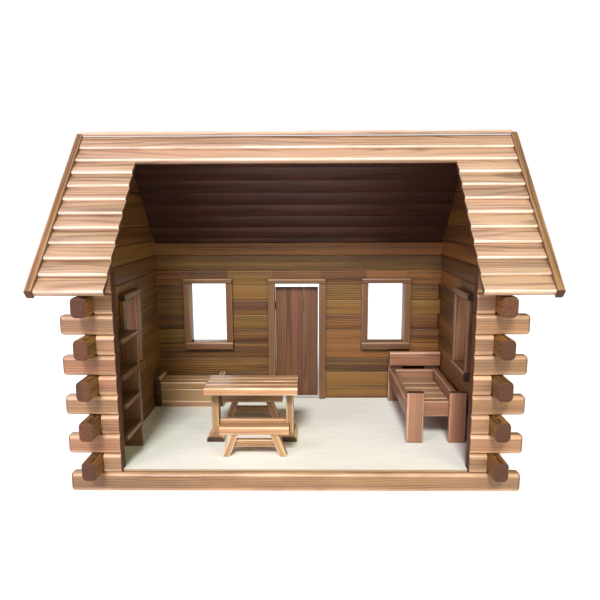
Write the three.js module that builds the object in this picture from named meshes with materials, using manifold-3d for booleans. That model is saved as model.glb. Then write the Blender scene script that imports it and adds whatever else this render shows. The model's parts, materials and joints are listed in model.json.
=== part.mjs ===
// Toy log cabin with its furniture: butt-and-pass log walls, a lapped-board roof with a
// large cut-out over the open front, a hinged back door, framed windows, a wall shelf, a
// lidded chest, a trestle table, two benches and a bed. Millimetres, +Z up, +X to the
// right along the ridge, open front towards -Y. Origin: middle of the footprint, at the
// level the lowest logs stand on.
import * as THREE from 'three';
import { mergeVertices } from 'three/addons/utils/BufferGeometryUtils.js';
import Module from 'manifold-3d';

const wasm = await Module();
wasm.setup();

// Driving dimensions
const GAP = 0.3; // clearance between separate pieces that touch
const COURSE = 25.4; // pitch of the log courses
const LOG_T = 19; // log thickness
const LOG_H = COURSE - GAP;
const WALL_COURSES = 12;
const GABLE_COURSES = 18; // side walls, gable included
const ROUND_OUT = 4.5; // chamfer of a log's outer edges
const ROUND_IN = 1.8; // chamfer of a log's inner edges
const HALF_DEPTH = 179; // outer faces of the front and back walls
const IN_Y = HALF_DEPTH - LOG_T;
const IN_X = 242.8; // inner faces of the side walls
const OUT_X = IN_X + LOG_T;
const PASS_Y = 29; // side logs running past the front or back wall
const LOG_END_X = 286; // ends of the long front and back logs
const FRONT_OPEN_X = 220; // half width of the open front
const STUB_COURSES = 11; // top of the front stubs
const FLOOR_BOTTOM = COURSE;
const FLOOR_T = 3;
const FLOOR_TOP = FLOOR_BOTTOM + FLOOR_T;
const STAND = FLOOR_TOP + GAP; // underside of what stands on the floor

const RIDGE_Z = 457; // line through the lower edges of the roof boards, at the ridge
const PITCH = THREE.MathUtils.degToRad(42.4);
const ROOF_ROWS = 11;
const ROW = 26.4; // exposed width of a roof board
const LAP_STEP = 4;
const ROOF_T = 8;
const ROOF_END_X = 301.5;
const CUT_X = 219; // half width of the roof cut-out
const CUT_ROWS = 2; // boards left whole above the cut-out
const RAKE_W = 9.2;
const RAKE_OVER = 2.5;
const RAKE_UNDER = 11;

const WINDOW_Z = [130.5, 232];
const WINDOW_HALF = 30.5;
const BACK_WINDOWS = [-155, 150];
const SIDE_WINDOW_Y = [-62, 5];
const TRIM_W = 11.5;
const TRIM_T = 8;
const HEADER_H = 8.5;
const SILL_H = 13;
const SILL_T = 10;
const LINER = 3; // boards lining the window and door openings
const DOOR_X = [-40.5, 35.3];
const DOOR_TOP = 231.3;
const LEAF_X = [-39.9, 33.8];
const LEAF_Z = [30.7, 224];
const LEAF_T = 7;
const LEAF_IN = 10; // inner face of the door behind the wall's outer face
const BATTEN_H = 18;
const HINGE_AXIS = [-40.2, HALF_DEPTH + 2.7];
const HINGE_Z = [2.5 * COURSE, 7.5 * COURSE];
const HINGE_H = 14;

const TABLE = { x: -63.5, y: -43, top: 111, half: 66.5, depth: 78, t: 11.5 };
const BENCH_T = 11.5;
const BENCH_TOP = 70.8;
const BENCH_HALF = 47.5;
const BENCH_D = 23;
const BED_X = [156, 240];
const BED_FOOT_Y = -74;
const BED_HEAD_Y = 140;
const CHEST_X = [-242.2, -127.2];
const CHEST_Y = [102, 157.5];
const CHEST_PIN = [150, 66.3];
const SHELF_X = [-242.2, -215];
const SHELF_Y = [-159.3, -82.5];
const SHELF_TOPS = [67, 109, 147.5];
const SHELF_TOP = 194;

// Materials
const wood = (color, roughness = 0.5) => new THREE.MeshStandardMaterial({ color, roughness, metalness: 0 });
const MAT = {
  log: () => wood(0xa9733f),
  wall: () => wood(0x7d4f2c),
  roof: () => wood(0xcf9f66, 0.45),
  trim: () => wood(0x8d5a34),
  door: () => wood(0x6f4227),
  furniture: () => wood(0xa06a3b),
  ply: () => wood(0xcfcaa9, 0.75),
  metal: () => new THREE.MeshStandardMaterial({ color: 0xb9965a, roughness: 0.35, metalness: 1 }),
};

const house = new THREE.Group();

// Adds one named sub-part.
function add(name, geometry, material) {
  geometry.computeVertexNormals();
  const mesh = new THREE.Mesh(geometry, material());
  mesh.name = name;
  house.add(mesh);
}

// Extrudes a closed outline; u and v are the world directions of its x and y, and the
// extrusion runs along u cross v from the origin point.
function prism(points, depth, u, v, origin) {
  const shape = new THREE.Shape(points.map(([x, y]) => new THREE.Vector2(x, y)));
  const geometry = new THREE.ExtrudeGeometry(shape, { depth, bevelEnabled: false });
  const w = new THREE.Vector3().crossVectors(u, v);
  const matrix = new THREE.Matrix4().makeBasis(u, v, w);
  matrix.setPosition(...origin);
  return geometry.applyMatrix4(matrix);
}

const X = new THREE.Vector3(1, 0, 0);
const Y = new THREE.Vector3(0, 1, 0);
const Z = new THREE.Vector3(0, 0, 1);
const NEG_X = new THREE.Vector3(-1, 0, 0);

// Outlines in (y, z) run along X, in (-x, z) along Y and in (x, y) along Z.
const alongX = (points, x0, x1) => prism(points, x1 - x0, Y, Z, [x0, 0, 0]);
const alongY = (points, y0, y1) => prism(points.map(([x, z]) => [-x, z]).reverse(), y1 - y0, NEG_X, Z, [0, y0, 0]);
const alongZ = (points, z0, z1) => prism(points, z1 - z0, X, Y, [0, 0, z0]);

function box(x, y, z) {
  const geometry = new THREE.BoxGeometry(x[1] - x[0], y[1] - y[0], z[1] - z[0]);
  return geometry.translate((x[0] + x[1]) / 2, (y[0] + y[1]) / 2, (z[0] + z[1]) / 2);
}

function toSolid(source) {
  const geometry = source.clone();
  geometry.deleteAttribute('normal');
  geometry.deleteAttribute('uv');
  const merged = mergeVertices(geometry, 1e-4);
  const vertProperties = new Float32Array(merged.attributes.position.array);
  const triVerts = new Uint32Array(merged.index.array);
  return new wasm.Manifold(new wasm.Mesh({ numProp: 3, vertProperties, triVerts }));
}

function toGeometry(solid) {
  const mesh = solid.getMesh();
  const geometry = new THREE.BufferGeometry();
  geometry.setAttribute('position', new THREE.BufferAttribute(new Float32Array(mesh.vertProperties), 3));
  geometry.setIndex(new THREE.BufferAttribute(new Uint32Array(mesh.triVerts), 1));
  return geometry;
}

// Joins the first list into one body and cuts the second list out of it.
function combine(solids, cuts = []) {
  let body = toSolid(solids[0]);
  for (const piece of solids.slice(1)) {
    body = body.add(toSolid(piece));
  }
  for (const piece of cuts) {
    body = body.subtract(toSolid(piece));
  }
  return toGeometry(body);
}

// Outline of boards laid side by side, from (a, b), with chamfered edges that leave a
// V-groove at each joint.
function boards(a, b, widths, t, c) {
  const low = [];
  const high = [];
  let x = a;
  widths.forEach((w, i) => {
    low.push([x + c, b], [x + w - c, b]);
    high.push([x + c, b + t], [x + w - c, b + t]);
    x += w;
    if (i < widths.length - 1) {
      low.push([x, b + c]);
      high.push([x, b + t - c]);
    }
  });
  return [[a, b + c], ...low, [x, b + c], [x, b + t - c], ...high.reverse(), [a, b + t - c]];
}

const board = (a, b, w, t, c) => boards(a, b, [w], t, c);

// Cross-section of a wall log: outer edges rounder than inner ones. "out" is the side the
// outer face is on, "face" the coordinate of the inner face, k the course.
function logOutline(face, out, k) {
  const z = k * COURSE;
  const outer = face + out * LOG_T;
  const points = [
    [face + out * ROUND_IN, z],
    [outer - out * ROUND_OUT, z],
    [outer, z + ROUND_OUT],
    [outer, z + LOG_H - ROUND_OUT],
    [outer - out * ROUND_OUT, z + LOG_H],
    [face + out * ROUND_IN, z + LOG_H],
    [face, z + LOG_H - ROUND_IN],
    [face, z + ROUND_IN],
  ];
  return out > 0 ? points : points.reverse();
}

const roofUnder = (y) => RIDGE_Z - ROOF_T / Math.cos(PITCH) - Math.abs(y) * Math.tan(PITCH);

// Everything above this outline is cut off, so the walls stop just under the roof.
function aboveRoofLine() {
  const drop = 0.5;
  const reach = 260;
  return alongX(
    [[-reach, roofUnder(reach) - drop], [0, roofUnder(0) - drop], [reach, roofUnder(reach) - drop], [reach, 600], [-reach, 600]],
    -320, 320,
  );
}

const odd = (k) => k % 2 === 1;

// Hole through a wall for an opening and its liner boards.
const roomFor = ([a, b]) => [a - LINER - GAP, b + LINER + GAP];

// Side wall: odd logs run past the front wall, even logs past the back wall. A core
// behind the log faces ties the courses together.
function sideWall(side) {
  const pieces = [];
  for (let k = 0; k < GABLE_COURSES; k += 1) {
    const y0 = odd(k) ? -HALF_DEPTH - PASS_Y : -IN_Y + GAP;
    const y1 = odd(k) ? IN_Y - GAP : HALF_DEPTH + PASS_Y;
    const gable = k >= WALL_COURSES;
    const outline = logOutline(side * IN_X, side, k);
    pieces.push(alongY(outline, gable ? -HALF_DEPTH : y0, gable ? HALF_DEPTH : y1));
  }
  const xs = [side * (IN_X + 2), side * (OUT_X - 2)].sort((a, b) => a - b);
  pieces.push(box(xs, [-IN_Y + 1, IN_Y - 1], [1, GABLE_COURSES * COURSE]));
  const through = [side * (IN_X - 5), side * (OUT_X + 5)].sort((a, b) => a - b);
  return combine(pieces, [aboveRoofLine(), box(through, roomFor(SIDE_WINDOW_Y), roomFor(WINDOW_Z))]);
}

// Back wall: even logs fit between the side walls, odd logs run past them.
function backWall() {
  const pieces = [];
  for (let k = 0; k < WALL_COURSES; k += 1) {
    const x = odd(k) ? LOG_END_X : IN_X - GAP;
    pieces.push(alongX(logOutline(IN_Y, 1, k), -x, x));
  }
  pieces.push(box([-IN_X + 1, IN_X - 1], [IN_Y + 2, HALF_DEPTH - 2], [1, WALL_COURSES * COURSE - 1]));
  const through = [IN_Y - 5, HALF_DEPTH + 5];
  const cuts = [aboveRoofLine(), box(roomFor(DOOR_X), through, [COURSE, DOOR_TOP + LINER + GAP])];
  for (const x of BACK_WINDOWS) {
    cuts.push(box(roomFor([x - WINDOW_HALF, x + WINDOW_HALF]), through, roomFor(WINDOW_Z)));
  }
  return combine(pieces, cuts);
}

// Short front logs beside the open front: even ones run out past the corner, odd ones
// butt against the side logs.
function frontStubs(side) {
  const pieces = [];
  for (let k = 1; k < STUB_COURSES; k += 1) {
    const far = odd(k) ? IN_X - GAP : LOG_END_X;
    const xs = [side * FRONT_OPEN_X, side * far].sort((a, b) => a - b);
    pieces.push(alongX(logOutline(-IN_Y, -1, k), xs[0], xs[1]));
  }
  const core = [side * (FRONT_OPEN_X + 1), side * (IN_X - 1)].sort((a, b) => a - b);
  pieces.push(box(core, [-HALF_DEPTH + 2, -IN_Y - 2], [COURSE + 1, STUB_COURSES * COURSE - 1]));
  return combine(pieces);
}

function buildWalls() {
  add('front_sill_log', alongX(logOutline(-IN_Y, -1, 0), -LOG_END_X, LOG_END_X), MAT.log);
  add('front_stubs_left', frontStubs(-1), MAT.log);
  add('front_stubs_right', frontStubs(1), MAT.log);
  add('wall_left', sideWall(-1), MAT.wall);
  add('wall_right', sideWall(1), MAT.wall);
  add('wall_back', backWall(), MAT.wall);
}

// Floor sheet with a tongue lying on the front sill, and a U-shaped bearer under it.
function buildFloor() {
  const x = IN_X - GAP;
  const y = IN_Y - GAP;
  const tongue = FRONT_OPEN_X - GAP;
  const lip = HALF_DEPTH - 6;
  const sheet = [[-tongue, -lip], [tongue, -lip], [tongue, -y], [x, -y], [x, y], [-x, y], [-x, -y], [-tongue, -y]];
  add('floor_panel', alongZ(sheet, FLOOR_BOTTOM, FLOOR_TOP), MAT.ply);
  const w = 12;
  const bearer = [[-x, -y], [-x + w, -y], [-x + w, y - w], [x - w, y - w], [x - w, -y], [x, -y], [x, y], [-x, y]];
  add('floor_bearer', alongZ(bearer, LOG_H - w, LOG_H), MAT.log);
}

// A point s down the slope from the ridge and d below the line of the board edges.
function slopePoint(side, s, d) {
  const y = s * Math.cos(PITCH) - d * Math.sin(PITCH);
  return [side * y, RIDGE_Z - s * Math.sin(PITCH) - d * Math.cos(PITCH)];
}

// Lapped roof boards in section: each board's lower edge stands proud of the next one.
function roofOutline(side) {
  const points = [[side * GAP * 0.5, RIDGE_Z - 0.2]];
  for (let i = 1; i <= ROOF_ROWS; i += 1) {
    points.push(slopePoint(side, i * ROW - 2, 0), slopePoint(side, i * ROW, 1.2));
    points.push(slopePoint(side, i * ROW, i < ROOF_ROWS ? LAP_STEP : ROOF_T));
  }
  points.push([side * GAP * 0.5, roofUnder(0) + 0.01]);
  return side > 0 ? points.reverse() : points;
}

// Strip covering the board ends along one slope of a gable.
function rakeTrim(side, end) {
  const cap = -RAKE_OVER;
  const outline = [
    [side * GAP * 0.5, RIDGE_Z - cap / Math.cos(PITCH)],
    slopePoint(side, ROOF_ROWS * ROW + 1, cap),
    slopePoint(side, ROOF_ROWS * ROW + 1, RAKE_UNDER),
    [side * GAP * 0.5, RIDGE_Z - RAKE_UNDER / Math.cos(PITCH)],
  ];
  const xs = [end * (ROOF_END_X + GAP), end * (ROOF_END_X + GAP + RAKE_W)].sort((a, b) => a - b);
  return alongX(side > 0 ? outline.reverse() : outline, xs[0], xs[1]);
}

function buildRoof() {
  const cut = alongX(
    [slopePoint(-1, CUT_ROWS * ROW, 30), slopePoint(-1, CUT_ROWS * ROW, -10), slopePoint(-1, 320, -10), slopePoint(-1, 320, 30)],
    -CUT_X, CUT_X,
  );
  add('roof_front', combine([alongX(roofOutline(-1).reverse(), -ROOF_END_X, ROOF_END_X)], [cut]), MAT.roof);
  add('roof_back', alongX(roofOutline(1).reverse(), -ROOF_END_X, ROOF_END_X), MAT.roof);
  const ridge = board(-6, RIDGE_Z + GAP, 12, 5.2, 1.5);
  add('ridge_strip', alongX(ridge, -ROOF_END_X, ROOF_END_X), MAT.roof);
  for (const [name, side] of [['front', -1], ['back', 1]]) {
    add(`rake_trim_${name}_left`, rakeTrim(side, -1), MAT.roof);
    add(`rake_trim_${name}_right`, rakeTrim(side, 1), MAT.roof);
  }
}

// Casing strips round an opening on the room side and liner boards through the wall: a
// and b are the opening's edges along the wall. "place" turns a span along the wall, a
// height range, and the reach into the room and into the wall, into a box.
function frameStrips(a, b, place, withSill) {
  const [z0, z1] = withSill ? WINDOW_Z : [STAND, DOOR_TOP];
  const low = withSill ? z0 - 0.5 : z0;
  const pieces = [
    place(a - TRIM_W, a, low, z1 + 0.5, GAP + TRIM_T, -GAP),
    place(b, b + TRIM_W, low, z1 + 0.5, GAP + TRIM_T, -GAP),
    place(a - TRIM_W, b + TRIM_W, z1, z1 + HEADER_H, GAP + TRIM_T + 1, -GAP),
    place(a - LINER, a, z0, z1 + 0.5, GAP + 1, LOG_T),
    place(b, b + LINER, z0, z1 + 0.5, GAP + 1, LOG_T),
    place(a - LINER, b + LINER, z1, z1 + LINER, GAP + 1, LOG_T),
  ];
  if (withSill) {
    pieces.push(place(a - TRIM_W, b + TRIM_W, z0 - SILL_H, z0, GAP + SILL_T, -GAP));
    pieces.push(place(a - LINER, b + LINER, z0 - LINER, z0 + 0.5, GAP + 1, LOG_T));
  }
  return pieces;
}

function buildFrames() {
  const onBack = (a, b, z0, z1, near, far) => box([a, b], [IN_Y - near, IN_Y + far], [z0, z1]);
  add('door_frame', combine(frameStrips(DOOR_X[0], DOOR_X[1], onBack, false)), MAT.trim);
  const names = ['window_frame_back_left', 'window_frame_back_right'];
  BACK_WINDOWS.forEach((x, i) => {
    add(names[i], combine(frameStrips(x - WINDOW_HALF, x + WINDOW_HALF, onBack, true)), MAT.trim);
  });
  for (const [name, side] of [['window_frame_left', -1], ['window_frame_right', 1]]) {
    const onSide = (a, b, z0, z1, near, far) => {
      const xs = [side * (IN_X - near), side * (IN_X + far)].sort((p, q) => p - q);
      return box(xs, [a, b], [z0, z1]);
    };
    add(name, combine(frameStrips(SIDE_WINDOW_Y[0], SIDE_WINDOW_Y[1], onSide, true)), MAT.trim);
  }
}

function cylinder(axis, radius, a, b, centre, segments = 20) {
  const geometry = new THREE.CylinderGeometry(radius, radius, b - a, segments);
  if (axis === 'x') {
    geometry.rotateZ(Math.PI / 2);
    return geometry.translate((a + b) / 2, centre[0], centre[1]);
  }
  geometry.rotateX(Math.PI / 2);
  return geometry.translate(centre[0], centre[1], (a + b) / 2);
}

// Butt hinge outside the door's left edge: the fixed half carries the pin, the moving
// half turns on it.
function buildHinge(name, z) {
  const [ax, ay] = HINGE_AXIS;
  const y = [HALF_DEPTH + GAP, HALF_DEPTH + GAP + 1.2];
  const zs = [z - HINGE_H / 2, z + HINGE_H / 2];
  const half = [z + 0.2, z - 0.2];
  const fixed = combine(
    [box([ax - 16, ax - 1], y, [half[0], zs[1]]), cylinder('z', 2.3, half[0], zs[1], [ax, ay]),
      cylinder('z', 1.3, zs[0], zs[1] - 1, [ax, ay])],
  );
  add(`${name}_fixed`, fixed, MAT.metal);
  const moving = combine(
    [box([ax + 1, ax + 16], y, [zs[0], half[1]]), cylinder('z', 2.3, zs[0], half[1], [ax, ay])],
    [cylinder('z', 1.6, zs[0] - 1, half[1] + 1, [ax, ay])],
  );
  add(`${name}_moving`, moving, MAT.metal);
}

// Door leaf of three upright boards held by two battens on the outside, which carry the
// hinges and lie flush with the outside of the wall.
function buildDoor() {
  const w = (LEAF_X[1] - LEAF_X[0]) / 3;
  const y = HALF_DEPTH - LEAF_IN;
  const leaf = boards(LEAF_X[0], y, [w, w, w], LEAF_T, 0.8);
  add('door_leaf', alongZ(leaf, LEAF_Z[0], LEAF_Z[1]), MAT.door);
  const names = ['lower', 'upper'];
  HINGE_Z.forEach((z, i) => {
    const height = [z - BATTEN_H / 2, z + BATTEN_H / 2];
    const batten = box([LEAF_X[0] + 1.5, LEAF_X[1] - 4], [y + LEAF_T + GAP, HALF_DEPTH], height);
    add(`door_batten_${names[i]}`, batten, MAT.door);
    buildHinge(`door_hinge_${names[i]}`, z);
  });
}

// Shelf unit fixed in the corner behind the left front logs: boards from those logs to one
// upright panel, open towards the room.
function buildShelf() {
  const t = 6;
  const panel = [SHELF_Y[1] - t, SHELF_Y[1]];
  add('shelf_panel', box(SHELF_X, panel, [STAND, SHELF_TOP - 5.5 - GAP]), MAT.furniture);
  add('shelf_top', box(SHELF_X, SHELF_Y, [SHELF_TOP - 5.5, SHELF_TOP]), MAT.furniture);
  SHELF_TOPS.forEach((z, i) => {
    const y = [SHELF_Y[0], panel[0] - GAP];
    add(`shelf_board_${i + 1}`, box(SHELF_X, y, [z - 5.5, z]), MAT.furniture);
  });
}

// Chest: two-log ends, a low front and back, and a lid that turns on nails through the
// ends at the rear.
function buildChest() {
  const [x0, x1] = CHEST_X;
  const [y0, y1] = CHEST_Y;
  const t = 11;
  const inner = [x0 + t + GAP, x1 - t - GAP];
  const bore = (a, b) => cylinder('x', 1.5, a, b, CHEST_PIN, 16);
  const end = (x) => {
    const outline = boards(STAND, x, [24.8, 24.8], t, 3).map(([z, px]) => [px, z]).reverse();
    return combine([alongY(outline, y0, y1)], [bore(x - 1, x + t + 1)]);
  };
  add('chest_end_left', end(x0), MAT.furniture);
  add('chest_end_right', end(x1 - t), MAT.furniture);
  const front = boards(STAND, y0, [10.3, 20.7], 10, 1.5).map(([z, y]) => [y, z]).reverse();
  add('chest_front', alongX(front, inner[0], inner[1]), MAT.furniture);
  add('chest_back', box(inner, [y1 - 10, y1], [STAND, 56]), MAT.furniture);
  add('chest_bottom', box(inner, [y0 + 10 + GAP, y1 - 10 - GAP], [STAND, STAND + 5]), MAT.furniture);
  const lid = boards(y0 - 1, 60.6, [18.5, 18, 18], 11.5, 1.8);
  const lidX = [inner[0] + GAP, inner[1] - GAP];
  const bores = [bore(lidX[0] - 1, lidX[0] + 5), bore(lidX[1] - 5, lidX[1] + 1)];
  add('chest_lid', combine([alongX(lid, lidX[0], lidX[1])], bores), MAT.furniture);
  const pin = (a, b) => cylinder('x', 1.2, a, b, CHEST_PIN, 16);
  add('chest_pin_left', pin(x0 + 0.2, lidX[0] + 4.5), MAT.metal);
  const head = cylinder('x', 2.4, x1 + GAP, x1 + GAP + 0.8, CHEST_PIN, 16);
  add('chest_pin_right', combine([pin(lidX[1] - 4.5, x1 + GAP + 0.4), head]), MAT.metal);
}

// Trestle table: plank top, an upright on a rounded foot at each end, one stretcher.
function buildTable() {
  const { x, y, top, half, depth, t } = TABLE;
  const w = depth / 4;
  const plank = boards(y - depth / 2, top - t, [w, w, w, w], t, 1.8);
  add('table_top', alongX(plank, x - half, x + half), MAT.furniture);
  const trestle = (side) => {
    const legX = x + side * 54;
    const footX = x + side * 52;
    const leg = alongZ(board(legX - 5.25, y - 12, 10.5, 24, 1.5), STAND + 8, top - t - GAP);
    const foot = [
      [footX - 12.5, STAND], [footX + 12.5, STAND], [footX + 12.5, STAND + 4.5],
      [footX + 9, STAND + 8.5], [footX - 9, STAND + 8.5], [footX - 12.5, STAND + 4.5],
    ];
    return combine([alongY(foot, y - 30, y + 30), leg]);
  };
  add('table_trestle_left', trestle(-1), MAT.furniture);
  add('table_trestle_right', trestle(1), MAT.furniture);
  const reach = 54 - 5.25 - GAP;
  add('table_stretcher', alongX(board(y - 5, 45, 10, 10, 1.5), x - reach, x + reach), MAT.furniture);
}

// Bench: plank seat on two splayed legs joined by a rail. The plank edge towards y0.
function buildBench(name, x, y0) {
  const seat = board(y0, BENCH_TOP - BENCH_T, BENCH_D, BENCH_T, 2.5);
  add(`${name}_seat`, alongX(seat, x - BENCH_HALF, x + BENCH_HALF), MAT.furniture);
  const zt = BENCH_TOP - BENCH_T - GAP;
  const leg = (side) => {
    const points = [[33, STAND], [44, STAND], [31.8, zt], [21.8, zt]].map(([px, z]) => [x + side * px, z]);
    return alongY(side > 0 ? points : points.reverse(), y0 + 2.5, y0 + BENCH_D - 2.5);
  };
  const rail = alongX(board(y0 + 7, 40.5, 9, 10.3, 1.5), x - 31, x + 31);
  add(`${name}_frame`, combine([leg(-1), leg(1), rail]), MAT.furniture);
}

// Bed: flat corner posts, rails between them, a deck of cross boards and a head slab.
function buildBed() {
  const [x0, x1] = BED_X;
  const postW = 24.3;
  const railT = 10;
  const post = (x, y, t, top) => alongZ(board(x, y, postW, t, 2), STAND, top);
  add('bed_foot_post_left', post(x0, BED_FOOT_Y, 11, 102), MAT.furniture);
  add('bed_foot_post_right', post(x1 - postW, BED_FOOT_Y, 11, 102), MAT.furniture);
  add('bed_head_post_left', post(x0 - 1, BED_HEAD_Y, 10, 106), MAT.furniture);
  add('bed_head_post_right', post(x1 - postW + 1.5, BED_HEAD_Y, 10, 106), MAT.furniture);
  const railY = [BED_FOOT_Y + 11 + GAP, BED_HEAD_Y - GAP];
  const sideRail = (x) => alongY(board(x, 64, railT, 23, 2), railY[0], railY[1]);
  add('bed_rail_left', sideRail(x0), MAT.furniture);
  add('bed_rail_right', sideRail(x1 - railT), MAT.furniture);
  const crossX = [x0 + railT + GAP, x1 - railT - GAP];
  const crossRail = (y) => alongX(board(y, 64, railT, 22.5, 2), crossX[0], crossX[1]);
  add('bed_foot_rail', crossRail(railY[0]), MAT.furniture);
  add('bed_head_rail', crossRail(railY[1] - railT), MAT.furniture);
  const deckY = [railY[0] + railT + GAP, railY[1] - railT - GAP];
  const w = (deckY[1] - deckY[0]) / 6;
  const deck = boards(deckY[0], 64.5, [w, w, w, w, w, w], 6.5, 1.3);
  add('bed_deck', alongX(deck, crossX[0], crossX[1]), MAT.furniture);
  add('bed_head_slab', alongX(board(BED_HEAD_Y - GAP - 11, 93, 11, 24.5, 2.5), x0 - 1.5, x1 + 2), MAT.furniture);
}

buildWalls();
buildFloor();
buildRoof();
buildFrames();
buildDoor();
buildShelf();
buildChest();
buildTable();
buildBench('bench_front', -55, -132);
buildBench('bench_rear', -71, 23);
buildBed();

export default house;
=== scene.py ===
# Looks of the toy log cabin: every log, board and strip is its own rounded bar of stained
# wood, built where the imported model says.
import json
import math
import random

import bpy
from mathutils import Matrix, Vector

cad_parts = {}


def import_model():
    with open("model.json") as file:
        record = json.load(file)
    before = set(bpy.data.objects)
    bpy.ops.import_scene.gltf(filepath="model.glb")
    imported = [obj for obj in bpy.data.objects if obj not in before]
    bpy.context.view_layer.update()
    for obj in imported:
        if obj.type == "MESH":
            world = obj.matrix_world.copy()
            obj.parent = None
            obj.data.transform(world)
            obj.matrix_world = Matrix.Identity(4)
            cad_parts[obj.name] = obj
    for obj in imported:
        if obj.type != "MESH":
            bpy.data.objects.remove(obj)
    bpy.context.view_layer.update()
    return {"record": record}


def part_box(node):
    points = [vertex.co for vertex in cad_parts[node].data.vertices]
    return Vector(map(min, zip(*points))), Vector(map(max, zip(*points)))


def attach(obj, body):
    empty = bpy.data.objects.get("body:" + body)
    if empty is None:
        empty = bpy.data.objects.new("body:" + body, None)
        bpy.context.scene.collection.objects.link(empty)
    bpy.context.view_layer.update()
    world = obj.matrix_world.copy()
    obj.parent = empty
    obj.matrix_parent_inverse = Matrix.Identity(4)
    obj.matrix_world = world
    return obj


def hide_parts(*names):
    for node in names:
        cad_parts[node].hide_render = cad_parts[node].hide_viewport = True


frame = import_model()
random.seed(7)

MM = 0.001
MIN_RADIUS = 0.15 * MM
CAP_STEP = 0.02 * MM
X, Y, Z = Vector((1, 0, 0)), Vector((0, 1, 0)), Vector((0, 0, 1))
JOINT = {j["name"]: j for j in frame["record"]["behaviour"]["joints"]}


# ---------------------------------------------------------------- wood bars

class Bars:
    """Closed bars gathered into one mesh, with what the wood shader needs on each point."""

    def __init__(self):
        self.points, self.faces, self.smooth, self.slots = [], [], [], []
        self.grain, self.tone, self.edge, self.cap = [], [], [], []

    def bar(self, u, v, w, size_u, size_v, span, radii, ends=(0.6, 0.6), tone=None, slot=0,
            limit=None, steps=4, origin=(0, 0, 0), figure=None):
        """One bar. u, v and w are its directions, w along the grain; size_u and size_v are
        (low, high) across it, span is (low, high) along it; radii are the corner radii in
        mm at (low u, low v), (high u, low v), (high u, high v), (low u, high v)."""
        origin = Vector(origin)
        a, b = span
        tone = random.random() if tone is None else tone
        pith_u, pith_v, flip, shift = figure or new_figure()
        pu = size_u[0] + (size_u[1] - size_u[0]) * pith_u
        pv = size_v[0] + (size_v[1] - size_v[0]) * pith_v
        rings = []
        for end, sign, r in ((a, 1, ends[0] * MM), (b, -1, ends[1] * MM)):
            rows = [(end, 0, 1), (end + sign * CAP_STEP, 0, 0)] if r <= 0 else []
            for i in range(steps + 1 if r > 0 else 0):
                t = math.pi / 2 * (1 - i / steps)
                out, inset = r * (1 - math.sin(t)), r * (1 - math.cos(t))
                rows.append((end + sign * out, inset, math.sin(t)))
            rings += rows if sign == 1 else rows[::-1]
        first = len(self.points)
        loop = None
        for w_at, inset, cap in rings:
            loop = section(size_u, size_v, [r * MM for r in radii], inset, steps)
            for across_u, across_v, edge in loop:
                at = w_at
                if limit is not None:
                    across_u, across_v, at = limit(across_u, across_v, at)
                self.points.append(origin + u * across_u + v * across_v + w * at)
                self.grain.append((at + shift, (across_u - pu) * flip, across_v - pv))
                self.tone.append(tone)
                self.edge.append(edge)
                self.cap.append(cap)
        n = len(loop)
        right = u.cross(v).dot(w) > 0
        for i in range(len(rings) - 1):
            for j in range(n):
                k = (j + 1) % n
                near, far = first + i * n, first + (i + 1) * n
                q = [near + j, near + k, far + k, far + j]
                self.face(q if right else q[::-1], True, slot)
        low = [first + j for j in range(n)]
        high = [first + (len(rings) - 1) * n + j for j in range(n)]
        self.face(low[::-1] if right else low, False, slot)
        self.face(high if right else high[::-1], False, slot)

    def face(self, corners, smooth, slot):
        self.faces.append(corners)
        self.smooth.append(smooth)
        self.slots.append(slot)

    def build(self, name, body, nodes, materials):
        mesh = bpy.data.meshes.new(name)
        mesh.from_pydata([tuple(p) for p in self.points], [], self.faces)
        mesh.polygons.foreach_set("use_smooth", self.smooth)
        mesh.polygons.foreach_set("material_index", self.slots)
        for key, kind, values in (
            ("grain", "FLOAT_VECTOR", [c for g in self.grain for c in g]),
            ("tone", "FLOAT", self.tone),
            ("edge", "FLOAT", self.edge),
            ("cap", "FLOAT", self.cap),
        ):
            made = mesh.attributes.new(key, kind, "POINT")
            made.data.foreach_set("vector" if kind == "FLOAT_VECTOR" else "value", values)
        sharpen(mesh)
        piece = bpy.data.objects.new(name, mesh)
        bpy.context.scene.collection.objects.link(piece)
        for material in materials:
            mesh.materials.append(material)
        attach(piece, body)
        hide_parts(*nodes)
        return piece


def new_figure():
    """Where a bar's pith lies across it, which way round it is cut, and where along the
    tree it comes from."""
    pith_u = random.uniform(-0.9, 1.9)
    pith_v = random.uniform(-1.6, -0.5)
    flip = random.choice((-1, 1))
    return pith_u, pith_v, flip, random.uniform(0, 40)


def sharpen(mesh, degrees=50):
    """Marks the edges that turn more than this as sharp."""
    limit = math.cos(math.radians(degrees))
    turns = {}
    for face in mesh.polygons:
        for key in face.edge_keys:
            turns.setdefault(key, []).append(face)
    for edge in mesh.edges:
        faces = turns.get(edge.key, [])
        if len(faces) == 2 and faces[0].normal.dot(faces[1].normal) < limit:
            edge.use_edge_sharp = True


# How much of the rubbed edge and its painted highlight shows where a rounded corner meets a flat face
FLAT_EDGE = 0.25


def section(size_u, size_v, radii, inset, steps):
    """Rounded rectangle as (u, v, how rounded), run anticlockwise."""
    lo = (size_u[0] + inset, size_v[0] + inset)
    hi = (size_u[1] - inset, size_v[1] - inset)
    loop = []
    corners = ((0, 0, 180), (1, 0, 270), (1, 1, 0), (0, 1, 90))
    for (iu, iv, start), r in zip(corners, radii):
        r = max(r - inset, MIN_RADIUS)
        cu = (hi[0] - r) if iu else (lo[0] + r)
        cv = (hi[1] - r) if iv else (lo[1] + r)
        for i in range(steps + 1):
            t = math.radians(start + 90 * i / steps)
            edge = math.sin(math.pi * i / steps) ** 0.7 if 0 < i < steps else FLAT_EDGE
            loop.append((cu + r * math.cos(t), cv + r * math.sin(t), edge))
    return loop


# ---------------------------------------------------------------- materials

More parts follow.
